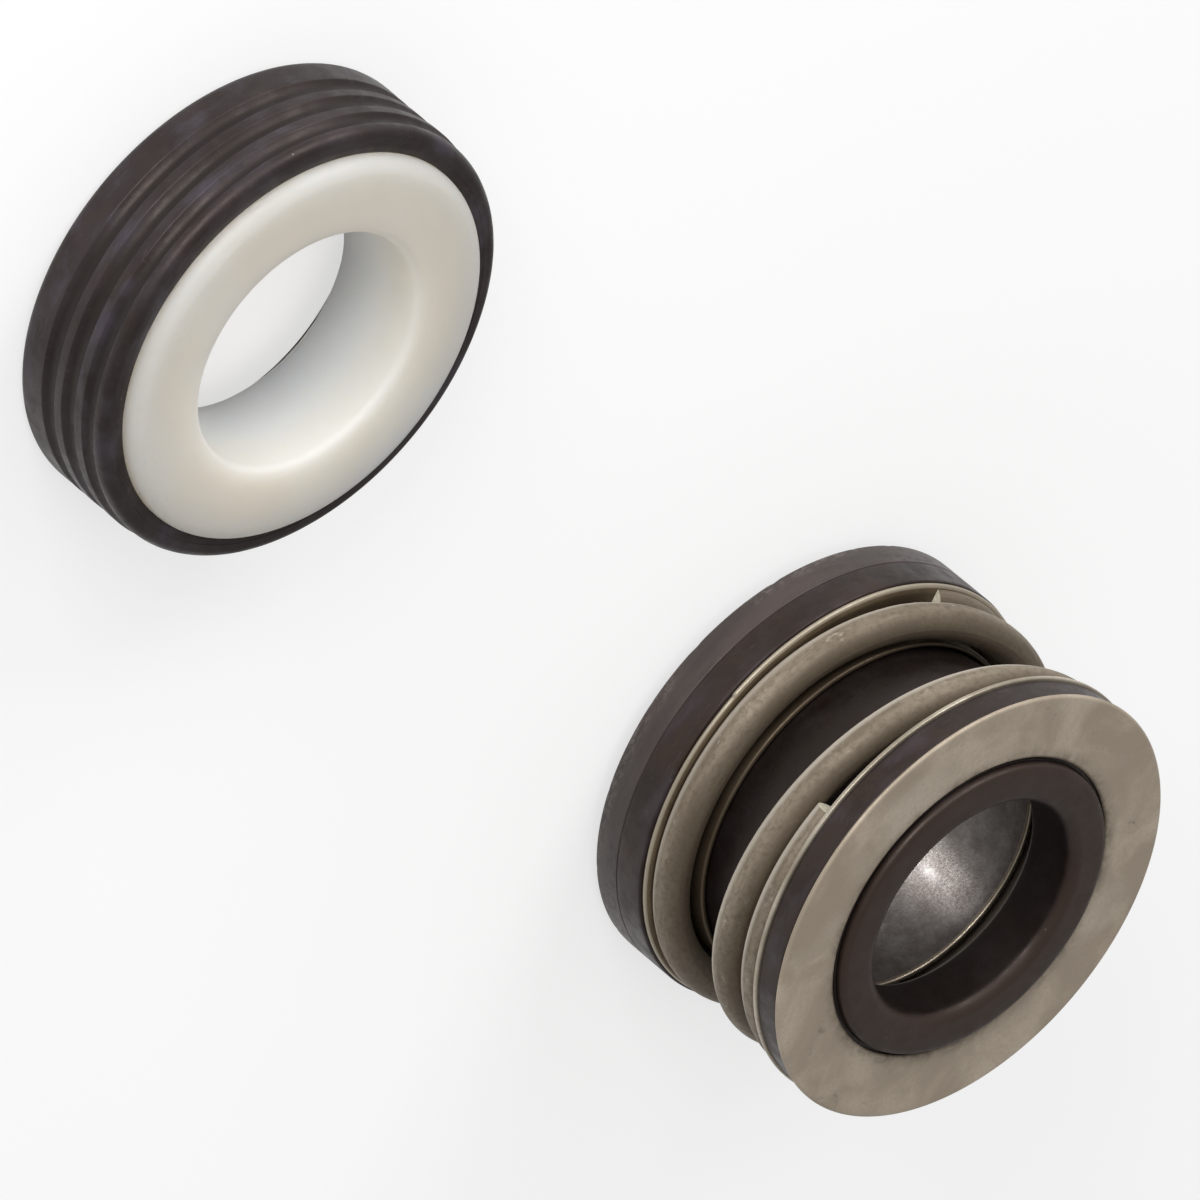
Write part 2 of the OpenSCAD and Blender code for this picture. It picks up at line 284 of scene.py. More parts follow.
def bellows_colours_and_painted_light(n, color):
    """The tube and the bore are painted blacker, as painted shade. The lip is browner,
    the hollow behind the skirt is painted paler as painted light, and the lower rim of the skirt
    carries a painted highlight."""
    # painted shade: the recessed tube and the bore of the lip are painted blacker
    painted_recess_shade = n.math("MULTIPLY", n.ramp(n.r, TUBE_R + 1, TUBE_R + 1.5, 0.8, 0.0),
                    n.ramp(n.z, LIP_Z - 1.2, LIP_Z - 0.3, 1.0, 0.15))
    color = n.mix(painted_recess_shade, color, srgb(16, 10, 8))
    lip = n.math("MULTIPLY", n.ramp(n.z, LIP_Z - 0.9, LIP_Z - 0.3, 0.0, 0.75),
                 n.ramp(n.r, LIP_OUT_R, LIP_OUT_R + 0.2, 1.0, 0.0))
    color = n.mix(lip, color, srgb(52, 40, 34))
    # painted light: the shaded hollow between the skirt and the tube is painted paler
    hollow = n.math("MULTIPLY", n.ramp(n.r, SKIRT_R + 0.9, SKIRT_R + 1.3),
                    n.ramp(n.r, TUBE_IN_R + 0.5, TUBE_IN_R + 0.9, 1.0, 0.0))
    hollow = n.math("MULTIPLY", hollow, n.ramp(n.z, SKIRT_Z, BAND_Z - 0.1, 0.9, 0.0))
    color = n.mix(hollow, color, srgb(132, 118, 106))
    # painted highlight along the lower inner rim of the skirt
    rim = n.math("MULTIPLY", n.ramp(n.r, LIP_R + 0.5, LIP_R + 0.7, 1.0, 0.0),
                 n.ramp(n.z, SKIRT_Z + 0.15, SKIRT_Z + 0.4, 0.7, 0.0))
    return n.mix(rim, color, srgb(126, 118, 108))


def cup_groove_shade(n, color):
    """Painted shade: blacker in the grooves between the ribs."""
    groove_shade = n.ramp(n.r, CUP_R - 0.47, CUP_R - 0.07, 0.8, 0.0)
    low = n.math("MULTIPLY", groove_shade, n.ramp(n.z, CUP_Z - 1.3, CUP_Z - 1.1, 1.0, 0.0))
    return n.mix(low, color, srgb(14, 10, 9))


def rubber(name, axis_y, dark, light, bloom, brown, wear, at_rest=False):
    """Moulded black rubber: two close tones, faint bloom, brown patches, grain and a little dust.
    wear adds the colours of this piece alone, painted shade and painted light among them."""
    n = Nodes(name)
    xyz = n.place(axis_y, at_rest)
    tone = n.ramp(n.noise(xyz, 0.16, 4, 0.6, 0.6), 0.36, 0.66)
    color = n.mix(tone, dark, light)
    flow = n.noise(n.round_place(3.0, 0.45), 1.0, 4, 0.6)
    color = n.mix(n.ramp(flow, 0.48, 0.72, 0.0, 0.65), color, bloom)
    rust = n.ramp(n.noise(xyz, 0.32, 5, 0.65, 1.0), 0.52, 0.7, 0.0, 0.6)
    color = n.mix(rust, color, brown)
    marks = n.ramp(n.noise(n.round_place(9.0, 2.4), 1.0, 6, 0.75, 1.5), 0.56, 0.74, 0.0, 0.2)
    color = n.mix(marks, color, srgb(112, 106, 100))
    dust = n.specks(xyz, 0.42, 0.05)
    color = n.mix(n.math("MULTIPLY", dust, 0.55), color, srgb(150, 144, 132))
    color = wear(n, color)
    fine = n.noise(xyz, 5.0, 4, 0.7)
    normal = n.bump(fine, 0.02, 0.5, n.bump(tone, 0.05, 0.4))
    roughness = n.ramp(n.noise(xyz, 0.6, 4, 0.6), 0.3, 0.7, RUBBER_ROUGH - 0.07,
                       RUBBER_ROUGH + 0.09)
    return n.shader(color, roughness, normal, Specular_IOR_Level=RUBBER_SPECULAR,
                    Specular_Tint=(1.0, 0.84, 0.76, 1.0))


def matte_steel(name, base, dark, pale, metallic, rough=0.5, stain=0.35, hole=0.0, rim=0.0):
    """Tumbled sheet steel: cloudy, with faint stains and a fine grain. It is smudged outside
    the radius hole. Outside the radius rim it has a painted highlight, and inside it painted shade."""
    n = Nodes(name)
    xyz = n.place(HEAD_Y)
    cloud = n.noise(xyz, 0.14, 5, 0.55, 0.8)
    color = n.mix(n.ramp(cloud, 0.38, 0.68), dark, base)
    color = n.mix(n.ramp(n.noise(xyz, 0.09, 2, 0.5), 0.52, 0.72, 0.0, 0.6), color, pale)
    grain = n.noise(xyz, 3.2, 5, 0.75)
    color = n.mix(n.ramp(grain, 0.45, 0.75, 0.0, 0.6), color, dark)
    spots = n.ramp(n.noise(xyz, 0.33, 6, 0.7, 1.2), 0.62, 0.76, 0.0, stain)
    color = n.mix(spots, color, srgb(92, 84, 72))
    if hole:
        smudge = n.math("MULTIPLY", n.ramp(n.r, hole, hole + 1.3, 1.0, 0.0),
                        n.ramp(n.noise(xyz, 0.5, 5, 0.7, 0.8), 0.4, 0.64, 0.1, 0.6))
        color = n.mix(smudge, color, srgb(84, 73, 60))
    if rim:
        # painted shade on the flange and collar inside the rim, and a painted highlight on the rim
        # itself
        color = n.mix(n.ramp(n.r, rim - 0.5, rim - 0.2, 0.65, 0.0), color, srgb(66, 54, 41))
        color = n.mix(n.ramp(n.r, rim, rim + 0.15, 0.0, 0.7), color, srgb(182, 172, 154))
    normal = n.bump(grain, 0.012, 0.6, n.bump(cloud, 0.05, 0.4))
    roughness = n.ramp(grain, 0.3, 0.7, rough - 0.06, rough + 0.08)
    return n.shader(color, roughness, normal, Metallic=metallic)


# Materials

mat_disc = matte_steel("disc_steel", srgb(190, 176, 157), srgb(164, 150, 132),
                       srgb(204, 192, 175), stain=0.6, metallic=0.3, hole=DISC_HOLE_R)
mat_washer = matte_steel("washer_steel", srgb(188, 178, 162), srgb(150, 140, 124),
                         srgb(206, 198, 184), rough=0.36, metallic=0.6)
mat_retainer = matte_steel("retainer_steel", srgb(128, 113, 92), srgb(98, 84, 66),
                           srgb(146, 132, 111), rough=0.42, metallic=0.6, rim=FLANGE_R - 0.22)
mat_bellows = rubber("bellows_rubber", HEAD_Y, srgb(27, 19, 17), srgb(40, 32, 30), srgb(56, 50, 55),
                     srgb(48, 34, 25), bellows_colours_and_painted_light, at_rest=True)
mat_cup = rubber("cup_rubber", SEAT_Y, srgb(30, 24, 24), srgb(44, 38, 40), srgb(66, 61, 72),
                 srgb(46, 38, 34), cup_groove_shade)


def carbon_material():
    """Turned carbon: dark warm grey, fine turning lines, and pale scuffs at the lower edge that are
    partly a painted highlight of that edge.
    """
    n = Nodes("carbon")
    xyz = n.place(HEAD_Y)
    tone = n.noise(n.round_place(2.5, 0.5), 1.0, 4, 0.6)
    color = n.mix(n.ramp(tone, 0.35, 0.7), srgb(58, 49, 46), srgb(72, 62, 58))
    lines = n.noise(n.round_place(1.2, 14.0), 1.0, 3, 0.6)
    color = n.mix(n.ramp(lines, 0.5, 0.75, 0.0, 0.3), color, srgb(80, 74, 71))
    # pale at the lower outer edge: rubbed scuffs and a painted highlight of the edge together
    edge = n.ramp(n.z, CARBON_Z + 0.2, CARBON_Z + 1.5, 1.0, 0.0)
    rub = n.ramp(n.noise(n.round_place(22.0, 2.2), 1.0, 6, 0.75), 0.46, 0.62)
    patch = n.ramp(n.noise(n.round_place(2.4, 0.1), 1.0, 2, 0.5), 0.36, 0.54)
    scuffs_and_edge_highlight = n.math("MULTIPLY", n.math("MULTIPLY", edge, rub), patch)
    color = n.mix(n.math("MULTIPLY", scuffs_and_edge_highlight, 0.3), color, srgb(150, 143, 139))
    dust = n.specks(xyz, 0.5, 0.05)
    color = n.mix(n.math("MULTIPLY", dust, 0.6), color, srgb(160, 156, 150))
    normal = n.bump(lines, 0.01, 0.5, n.bump(n.noise(xyz, 3.0, 4, 0.7), 0.02, 0.5))
    return n.shader(color, n.ramp(rub, 0.0, 1.0, 0.42, 0.54), normal, Specular_IOR_Level=0.4)


def ceramic_material():
    """Off-white alumina: nearly even, faintly warmer and cooler patches, satin."""
    n = Nodes("ceramic")
    xyz = n.place(SEAT_Y)
    color = n.mix(n.ramp(n.noise(xyz, 0.07, 3, 0.5), 0.36, 0.64), srgb(216, 207, 194),
                  srgb(220, 213, 202))
    faint = n.ramp(n.noise(xyz, 0.8, 5, 0.7), 0.55, 0.8, 0.0, 0.25)
    color = n.mix(faint, color, srgb(202, 195, 182))
    dust = n.specks(xyz, 0.4, 0.035)
    color = n.mix(n.math("MULTIPLY", dust, 0.35), color, srgb(188, 176, 158))
    # the bore wall is painted whiter than the lapped face, and whiter still with depth: painted
    # light against the shade in the bore
    painted_bore_light = n.math("MULTIPLY", n.ramp(n.r, BORE_R + 0.05, BORE_R + 0.5, 1.0, 0.0),
                   n.ramp(n.z, SEAT_Z - 6.0, SEAT_Z - 0.5, 1.0, 0.25))
    color = n.mix(painted_bore_light, color, srgb(250, 246, 238))
    fine = n.noise(xyz, 6.0, 3, 0.6)
    return n.shader(color, n.ramp(fine, 0.3, 0.7, 0.46, 0.54), n.bump(fine, 0.003, 0.4),
                    Subsurface_Weight=1.0, Subsurface_Scale=0.012,
                    Subsurface_Radius=(1.0, 0.9, 0.75))


def sleeve_material():
    """Drawn steel tube: grey and mottled in the bore, with a painted highlight, bright and warm, on
    its rolled end.
    """
    n = Nodes("sleeve_steel")
    xyz = n.place(HEAD_Y)
    cloud = n.noise(xyz, 0.5, 5, 0.7)
    color = n.mix(n.ramp(cloud, 0.35, 0.7), srgb(120, 112, 108), srgb(150, 144, 140))
    grain = n.noise(xyz, 4.5, 4, 0.8)
    color = n.mix(n.ramp(grain, 0.45, 0.75, 0.0, 0.5), color, srgb(96, 88, 84))
    # painted highlight on the rolled end
    end = n.ramp(n.z, SLEEVE_TOP - 0.45, SLEEVE_TOP - 0.2)
    color = n.mix(end, color, srgb(196, 182, 162))
    return n.shader(color, n.ramp(grain, 0.3, 0.7, 0.3, 0.44), n.bump(grain, 0.02, 0.6),
                    Metallic=0.9, Coat_Weight=0.25, Coat_Roughness=0.17)


def wire_material():
    """Spring wire: beige steel with draw marks along the wire, darker pits and pale rubs."""
    n = Nodes("spring_steel")
    uv = n.add("ShaderNodeTexCoord").outputs["UV"]
    part = n.add("ShaderNodeSeparateXYZ", Vector=uv)
    along = n.math("MULTIPLY", part.outputs[0], 2 * math.pi * (SPRING_R - WIRE_R))
    turn = n.math("MULTIPLY", part.outputs[1], 2 * math.pi)

    def streaks(slow, fast):
        node = n.add("ShaderNodeCombineXYZ")
        n.put(node.inputs[0], n.math("MULTIPLY", along, slow))
        n.put(node.inputs[1], n.math("MULTIPLY", n.math("COSINE", turn), fast))
        n.put(node.inputs[2], n.math("MULTIPLY", n.math("SINE", turn), fast))
        return node.outputs[0]

    broad = n.noise(streaks(0.10, 1.1), 1.0, 4, 0.6)
    color = n.mix(n.ramp(broad, 0.36, 0.66), srgb(119, 107, 91), srgb(142, 130, 113))
    draw = n.noise(streaks(0.35, 5.0), 1.0, 5, 0.7)
    color = n.mix(n.ramp(draw, 0.44, 0.74, 0.0, 0.5), color, srgb(98, 85, 69))
    grain = n.noise(streaks(2.0, 4.6), 1.0, 4, 0.7)
    color = n.mix(n.ramp(grain, 0.44, 0.7, 0.0, 0.6), color, srgb(100, 88, 72))
    pits = n.ramp(n.noise(streaks(1.1, 2.6), 1.0, 6, 0.8), 0.56, 0.67, 0.0, 0.45)
    color = n.mix(pits, color, srgb(72, 60, 47))
    rubs = n.ramp(n.noise(streaks(0.5, 1.6), 1.0, 5, 0.75), 0.6, 0.72, 0.0, 0.5)
    color = n.mix(rubs, color, srgb(190, 180, 163))
    # painted shade on the upward side, and a painted reflection along the lower outer side
    normal_z = n.add("ShaderNodeSeparateXYZ",
                     Vector=n.add("ShaderNodeNewGeometry").outputs["Normal"]).outputs[2]
    color = n.mix(n.ramp(normal_z, 0.1, 0.9, 0.0, 0.7), color, srgb(88, 76, 61))
    color = n.mix(n.ramp(normal_z, -0.6, -0.1, 0.8, 0.0), color, srgb(212, 203, 189))
    normal = n.bump(grain, 0.02, 0.7, n.bump(draw, 0.015, 0.6))
    return n.shader(color, n.ramp(grain, 0.3, 0.7, 0.52, 0.66), normal, Metallic=0.3)


def cut_material():
    """Freshly cut and ground wire ends."""
    n = Nodes("spring_cut")
    xyz = n.place(HEAD_Y)
    grain = n.noise(xyz, 5.0, 4, 0.7)
    color = n.mix(n.ramp(grain, 0.35, 0.7), srgb(200, 192, 168), srgb(230, 223, 204))
    return n.shader(color, 0.5, n.bump(grain, 0.03, 0.8), Metallic=0.1)


mat_carbon = carbon_material()
mat_ceramic = ceramic_material()
mat_sleeve = sleeve_material()
mat_wire = wire_material()
mat_cut = cut_material()


def dress(obj, node, slot_name, *materials):
    """Give a piece its materials and hide the CAD node that it replaces. slot_name is not used."""
    for material in materials:
        obj.data.materials.append(material)
    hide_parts(node)
    return obj


# The head

# Carbon ring
nose_in, nose_out = FACE_BORE_R + 0.7, FACE_BORE_R + 3.5
carbon_profile = (
    [(FACE_BORE_R, 0.6), (nose_in, 0.4), (nose_in, 0.05), (nose_in + 0.05, 0.0)]
    + line((nose_in + 0.05, 0), (nose_out - 0.05, 0), 4)
    + [(nose_out - 0.05, 0.0), (nose_out, 0.05), (nose_out, CARBON_Z)]
    + line((nose_out, CARBON_Z), (HEAD_R - 0.35, CARBON_Z), 4)
    + arc(HEAD_R - 0.3, CARBON_Z + 0.3, 0.3, 270, 360, 7)
    + line((HEAD_R, CARBON_Z + 0.3), (HEAD_R, BOOT_Z - 0.14), 8)
    + arc(HEAD_R - 0.1, BOOT_Z - 0.12, 0.1, 0, 70, 4)
    + [(HEAD_R - 0.16, BOOT_Z), (SLEEVE_R, BOOT_Z), (SLEEVE_R, SLEEVE_Z), (FACE_BORE_R, SLEEVE_Z)])


def carbon_change(a, r, z):
    """Small chips and rubbed places round the lower outer edge."""
    if r > HEAD_R - 0.5 and z < CARBON_Z + 0.8:
        near = 1 - smooth((z - CARBON_Z) / 0.8)
        chips = max(0.0, ripple(a, 3.1, (17, 29, 43, 61), 0.3) - 0.42)
        wear = 0.5 + 0.5 * ripple(a, 1.3, (2, 3, 5))
        r -= near * (0.22 * chips + 0.05 * wear)
    return r + 0.015 * ripple(a, 0.4), z


carbon = revolve("carbon_ring_turned", carbon_profile, HEAD_Y, 480, carbon_change)
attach(dress(carbon, "carbon_ring", "carbon", mat_carbon), "halves")

# Inner sleeve with its rolled end
wall = SLEEVE_R - FACE_BORE_R
sleeve_profile = (
    [(FACE_BORE_R, SLEEVE_Z), (SLEEVE_R, SLEEVE_Z)]
    + line((SLEEVE_R, SLEEVE_Z), (SLEEVE_R, SLEEVE_TOP - wall / 2), 10)
    + arc(SLEEVE_R - wall / 2, SLEEVE_TOP - wall / 2, wall / 2, 0, 180, 12)
    + line((FACE_BORE_R, SLEEVE_TOP - wall / 2), (FACE_BORE_R, SLEEVE_Z), 12))
sleeve = revolve("inner_sleeve_tube", sleeve_profile, HEAD_Y, 320)
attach(dress(sleeve, "inner_sleeve", "sleeve_steel", mat_sleeve), "halves")

# Rubber bellows
MID_Z, HALF_Z, BULGE = (COLLAR_Z + WASHER_Z) / 2, (WASHER_Z - COLLAR_Z) / 2, 0.35
LIP_ROLL = 1.05


def tube_side(radius, upward=True, n=24):
    """One wall of the rubber tube, which bulges a little between its ends."""
    out = []
    for i in range(n + 1):
        t = -1 + 2 * i / n
        out.append((radius + BULGE * (1 - t * t), MID_Z + HALF_Z * t))
    return out if upward else out[::-1]


bellows_profile = (
    [(SLEEVE_R, BOOT_Z), (HEAD_R - 0.14, BOOT_Z)]
    + arc(HEAD_R - 0.1, BOOT_Z + 0.11, 0.1, 290, 360, 4)
    + line((HEAD_R, BOOT_Z + 0.11), (HEAD_R, FLANGE_Z - 0.2), 6)
    + arc(HEAD_R - 0.2, FLANGE_Z - 0.2, 0.2, 0, 90, 6)
    + line((HEAD_R - 0.2, FLANGE_Z), (TUBE_R, FLANGE_Z), 4)
    + [(TUBE_R, FLANGE_Z)] + line((TUBE_R, FLANGE_Z), (TUBE_R, COLLAR_Z), 4)
    + tube_side(TUBE_R)
    + [(TUBE_R, BAND_Z - 0.02)]
    + line((TUBE_R, BAND_Z), (BAND_R - 0.2, BAND_Z), 4)
    + arc(BAND_R - 0.18, BAND_Z + 0.18, 0.18, 270, 360, 6)
    + line((BAND_R, BAND_Z + 0.18), (BAND_R, DISC_Z - 0.3), 5)
    + arc(BAND_R - 0.3, DISC_Z - 0.3, 0.3, 0, 90, 7)
    + line((BAND_R - 0.3, DISC_Z), (LIP_OUT_R + 0.1, DISC_Z), 5)
    + [(LIP_OUT_R + 0.1, DISC_Z), (LIP_OUT_R, DISC_Z + 0.1)]
    + line((LIP_OUT_R, DISC_Z + 0.1), (LIP_OUT_R, LIP_Z - 0.55), 3)
    + arc(LIP_OUT_R - 0.55, LIP_Z - 0.55, 0.55, 0, 90, 9)
    + line((LIP_OUT_R - 0.55, LIP_Z), (LIP_R + LIP_ROLL, LIP_Z), 6)
    + arc(LIP_R + LIP_ROLL, LIP_Z - LIP_ROLL, LIP_ROLL, 90, 180, 16)
    + line((LIP_R, LIP_Z - LIP_ROLL), (LIP_R, SKIRT_Z + 0.4), 8)
    + arc(LIP_R + 0.4, SKIRT_Z + 0.4, 0.4, 180, 270, 7)
    + arc(SKIRT_R - 0.2, SKIRT_Z + 0.2, 0.2, 270, 360, 4)
    + [(SKIRT_R, BAND_Z - 0.4), (SKIRT_R + 0.2, BAND_Z - 0.2)]
    + line((SKIRT_R + 0.2, BAND_Z - 0.2), (TUBE_IN_R - 0.2, BAND_Z - 0.2), 3)
    + [(TUBE_IN_R - 0.2, BAND_Z - 0.2), (TUBE_IN_R, BAND_Z - 0.4)]
    + tube_side(TUBE_IN_R, False)
    + [(TUBE_IN_R, WEB_Z), (SLEEVE_R, WEB_FOOT_Z)])


def bellows_change(a, r, z):
    """Moulded edges are never quite even."""
    if z > LIP_Z - 0.6 and r > LIP_R:
        z += 0.02 * (ripple(a, 2.2) - 1) - 0.05 * smooth((r - 11.6) / 1.4) * (z > LIP_Z - 0.1)
    if r > TUBE_R + 0.6:
        r += 0.015 * ripple(a, 1.9, (2, 3, 7, 11))
    return r, z


bellows = revolve("bellows_moulding", bellows_profile, HEAD_Y, 384, bellows_change)
keep_rest(bellows)
dress(bellows, "bellows", "bellows_rubber", mat_bellows)

# Retainer: flange with a rounded rim, one stretch of it left wider, and the collar
SHEET = 0.45
retainer_profile = (
    [(COLLAR_R - SHEET, FLANGE_Z)]
    + line((COLLAR_R - SHEET, FLANGE_Z), (FLANGE_R - SHEET / 2, FLANGE_Z), 6)
    + arc(FLANGE_R - SHEET / 2, FLANGE_Z + SHEET / 2, SHEET / 2, -90, 90, 12)
    + line((FLANGE_R - SHEET / 2, SPRING_Z), (COLLAR_R + 0.35, SPRING_Z), 6)
    + arc(COLLAR_R + 0.35, SPRING_Z + 0.35, 0.35, 270, 180, 6)
    + line((COLLAR_R, SPRING_Z + 0.35), (COLLAR_R, COLLAR_Z - 0.2), 4)
    + arc(COLLAR_R - SHEET / 2, COLLAR_Z - SHEET / 2, SHEET / 2, 0, 180, 8)
    + line((COLLAR_R - SHEET, COLLAR_Z - SHEET / 2), (COLLAR_R - SHEET, FLANGE_Z), 5))


def retainer_change(a, r, z):
    """One stretch of the rim stands out a little, and all of it wavers."""
    angle = math.degrees(a) % 360
    if r > FLANGE_R - 0.3 and z < SPRING_Z + 0.01:
        into = min(angle - RIM_FROM, RIM_FROM + RIM_ARC - angle)
        if into > 0:
            r += RIM_STEP * smooth(into / 0.7) * smooth((r - FLANGE_R + 0.3) / 0.15)
        r += 0.012 * ripple(a, 0.7, (3, 5, 9, 14))
    return r, z


retainer = revolve("retainer_pressing", retainer_profile, HEAD_Y, 720, retainer_change)
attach(dress(retainer, "retainer", "retainer_steel", mat_retainer), "halves")


# Spring
def wire_height(turn):
    """Height of the wire's centre: end coils that lie flat, and tips that rise into them."""
    first, last = SPRING_Z + TIP_T - WIRE_R, WASHER_Z - TAIL_TIP_T + WIRE_R
    low, high = SPRING_Z + WIRE_R - TIP_GRIND, WASHER_Z - WIRE_R + TAIL_GRIND
    lift = 2 * WIRE_R + COIL_GAP
    pitch = (last - first - 2 * lift) / (SPRING_TURNS - 2)

    def run(u):
        free = max(low, min(high, first + lift + pitch * (u - 1)))
        if u < 1:
            return min(free, first + (low - first) * u / TIP_RUN)
        return max(free, last + (last - high) * (u - SPRING_TURNS) / TAIL_RUN)

    return sum(run(turn + 0.01 * i) for i in range(-4, 5)) / 9


def make_spring(rings=170, half=18, flat=7):
    """Wire swept along the coil. Each section is a circle cut flat where the ends are ground."""
    steps = math.ceil(SPRING_TURNS * rings)
    verts, faces, uvs, marks = [], [], [], []
    mean = SPRING_R - WIRE_R
    clear = 0.01
    count = 2 * half + 2 * flat

    def section(turn):
        z = wire_height(turn)
        low = math.asin(max(-1.0, min(1.0, (SPRING_Z + clear - z) / WIRE_R)))
        high = math.asin(max(-1.0, min(1.0, (WASHER_Z - clear - z) / WIRE_R)))
        out = []
        for i in range(half):
            v = low + (high - low) * i / (half - 1)
            out.append((WIRE_R * math.cos(v), WIRE_R * math.sin(v), v))
        edge = (WIRE_R * math.cos(high), WIRE_R * math.sin(high))
        for i in range(flat):
            x = edge[0] * (1 - 2 * (i + 1) / (flat + 1))
            out.append((x, edge[1], math.atan2(edge[1], x)))
        for i in range(half):
            v = high + (low - high) * i / (half - 1)
            out.append((-WIRE_R * math.cos(v), WIRE_R * math.sin(v), math.pi - v))
        edge = (WIRE_R * math.cos(low), WIRE_R * math.sin(low))
        for i in range(flat):
            x = -edge[0] * (1 - 2 * (i + 1) / (flat + 1))
            out.append((x, edge[1], math.atan2(edge[1], x)))
        return z, out

    for k in range(steps + 1):
        turn = SPRING_TURNS * k / steps
        z, ring = section(turn)
        # the wire's last end is sheared off aslant, shorter on the outside
        end = max(0.0, 1 - (SPRING_TURNS - turn) * 2 * math.pi * mean / 5) ** 2
        for x, dz, _ in ring:
            q = mean + x
            cut = end * 0.2 * (x + WIRE_R) / mean
            a = math.radians(TIP_ANGLE - 360 * turn) + cut
            verts.append((q * math.cos(a), HEAD_Y + q * math.sin(a), z + dz))
    for k in range(steps):
        for j in range(count):
            m = (j + 1) % count
            faces.append((k * count + j, (k + 1) * count + j, (k + 1) * count + m, k * count + m))
            u0, u1 = SPRING_TURNS * k / steps, SPRING_TURNS * (k + 1) / steps
            v0, v1 = j / count, (j + 1) / count
            uvs += [(u0, v0), (u1, v0), (u1, v1), (u0, v1)]
            marks.append(0)
    for first, order in ((0, range(count - 1, -1, -1)), (steps * count, range(count))):
        faces.append([first + j for j in order])
        uvs += [(0, 0)] * count
        marks.append(1)
    return finish_mesh("spring_coil", verts, faces, 38, uvs, marks)


spring = make_spring()
dress(spring, "spring", "spring_steel", mat_wire, mat_cut)

# Spring washer
washer_in = TUBE_R + 0.6
washer_profile = (
    arc(washer_in + 0.1, WASHER_Z + 0.1, 0.1, 180, 270, 4)
    + line((washer_in + 0.1, WASHER_Z), (WASHER_R - 0.14, WASHER_Z), 6)
    + arc(WASHER_R - 0.14, WASHER_Z + 0.14, 0.14, 270, 360, 6)
    + arc(WASHER_R - 0.14, BAND_Z - 0.14, 0.14, 0, 90, 6)
    + line((WASHER_R - 0.14, BAND_Z), (washer_in + 0.1, BAND_Z), 6)
    + arc(washer_in + 0.1, BAND_Z - 0.1, 0.1, 90, 180, 4))
washer = revolve("spring_washer_sheet", washer_profile, HEAD_Y, 480,
                 lambda a, r, z: (r + 0.02 * ripple(a, 2.9, (2, 3, 5, 9)), z))
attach(dress(washer, "spring_washer", "washer_steel", mat_washer), "tail")

# End disc: flat, with its edges rounded by tumbling
disc_profile = (
    arc(DISC_HOLE_R + 0.2, DISC_Z + 0.2, 0.2, 180, 270, 4)
    + line((DISC_HOLE_R + 0.2, DISC_Z), (DISC_R - 0.22, DISC_Z), 6)
    + arc(DISC_R - 0.22, DISC_Z + 0.22, 0.22, 270, 360, 6)
    + arc(DISC_R - 0.26, TAIL_Z - 0.26, 0.26, 0, 90, 10)
    + line((DISC_R - 0.26, TAIL_Z), (DISC_HOLE_R + 0.35, TAIL_Z), 12)
    + [(DISC_HOLE_R + 0.35 - 0.35 * math.sin(math.radians(u)),
        TAIL_Z - 0.28 + 0.28 * math.cos(math.radians(u))) for u in range(0, 91, 9)])
disc = revolve("end_disc_sheet", disc_profile, HEAD_Y, 480,
               lambda a, r, z: (r + 0.015 * ripple(a, 5.3, (2, 3, 4, 7)), z))
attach(dress(disc, "end_disc", "disc_steel", mat_disc), "tail")

for soft in (spring, bellows):
    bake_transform(soft)

# The seat

# Ceramic ring: the edges of its face are rounded, outside and at the bore
FACE_ROUND, BORE_ROUND = 1.15, 0.8
ceramic_profile = (
    [(BORE_R, CUP_FLOOR + 0.3)]
    + [(BORE_R + 0.3, CUP_FLOOR), (CERAMIC_R - 0.3, CUP_FLOOR), (CERAMIC_R, CUP_FLOOR + 0.3)]
    + line((CERAMIC_R, CUP_FLOOR + 0.3), (CERAMIC_R, SEAT_Z - FACE_ROUND), 6)
    + arc(CERAMIC_R - FACE_ROUND, SEAT_Z - FACE_ROUND, FACE_ROUND, 0, 90, 18)
    + line((CERAMIC_R - FACE_ROUND, SEAT_Z), (BORE_R + BORE_ROUND, SEAT_Z), 8)
    + arc(BORE_R + BORE_ROUND, SEAT_Z - BORE_ROUND, BORE_ROUND, 90, 180, 14)
    + line((BORE_R, SEAT_Z - BORE_ROUND), (BORE_R, CUP_FLOOR + 0.3), 10))
ceramic = revolve("ceramic_ring_lapped", ceramic_profile, SEAT_Y, 384)
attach(dress(ceramic, "ceramic_ring", "ceramic", mat_ceramic), "halves")

# Rubber cup
FLOOR_R, SHOULDER_R = CUP_R - 0.45, CUP_R - 0.15
RIB_H, CREST, RISE, LAND, BACK, HEEL = 0.45, 0.16, 0.8, 0.85, 0.1, 0.07
RIBS = [CUP_Z - 2.2 - 2.3 * i for i in range(3)]


def rib_points(i):
    """One barbed rib, from its back to its front: steep back, land and a hollow ramp."""
    z = RIBS[i]
    slope = math.degrees(math.atan2(2 * RIB_H, RISE))
    low = z - CREST * math.tan(math.radians(slope / 2))
    out = []
    if i < 2:
        out += [(FLOOR_R, z - LAND - BACK)] + arc(CUP_R - HEEL, z - LAND + HEEL, HEEL, -80, 0, 4)
        out += line(out[-1], (CUP_R, low), 4)
    out += arc(CUP_R - CREST, low, CREST, 0, slope, 8)
    top_r, top_z = out[-1]
    for k in range(1, 9):
        u = k / 8
        out.append((FLOOR_R + (top_r - FLOOR_R) * (1 - u) ** 2, top_z + (z + RISE - top_z) * u))
    return out


